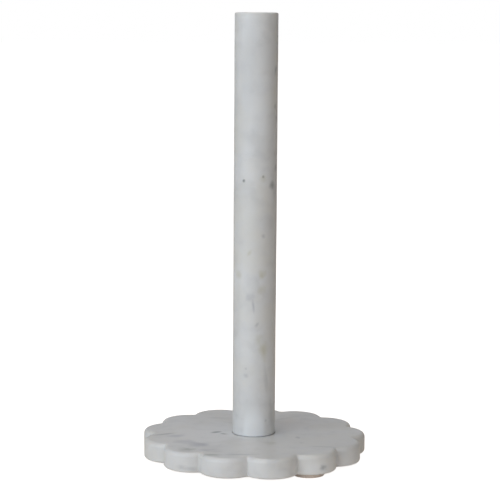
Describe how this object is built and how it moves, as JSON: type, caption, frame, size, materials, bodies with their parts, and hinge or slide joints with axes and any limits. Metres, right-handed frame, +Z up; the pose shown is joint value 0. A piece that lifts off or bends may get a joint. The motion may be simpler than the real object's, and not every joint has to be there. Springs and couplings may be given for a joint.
{
  "type": "paper towel holder",
  "caption": "Upright kitchen roll holder: a plain round stone post on a flat stone base with a scalloped petal edge and small felt feet.",
  "frame": {"origin": "on the post's axis, on the surface that the three felt pads stand on", "axes": "+Z up along the post; -Y through the middle of the front petal; +X to the right when the front petal is nearest"},
  "size_m": [0.159, 0.1582, 0.3145],
  "materials": {
    "polished_marble": "white to pale grey marble, polished to a soft gloss, with faint grey veins and small tan and dark flecks",
    "zinc_steel": "bright zinc plate, satin",
    "set_resin": "set amber stone adhesive, slightly glossy where it has run",
    "black_rubber": "matt black",
    "beige_felt": "pressed beige felt, matt, with a fuzzy cut edge"
  },
  "bodies": {
    "root": {"base_slab": "polished_marble", "post": "polished_marble", "threaded_stud": "zinc_steel", "stud_bond": "set_resin", "rubber_washer": "black_rubber", "flat_washer": "zinc_steel", "hex_nut": "zinc_steel", "felt_pad_1": "beige_felt", "felt_pad_2": "beige_felt", "felt_pad_3": "beige_felt"}
  },
  "joints": []
}
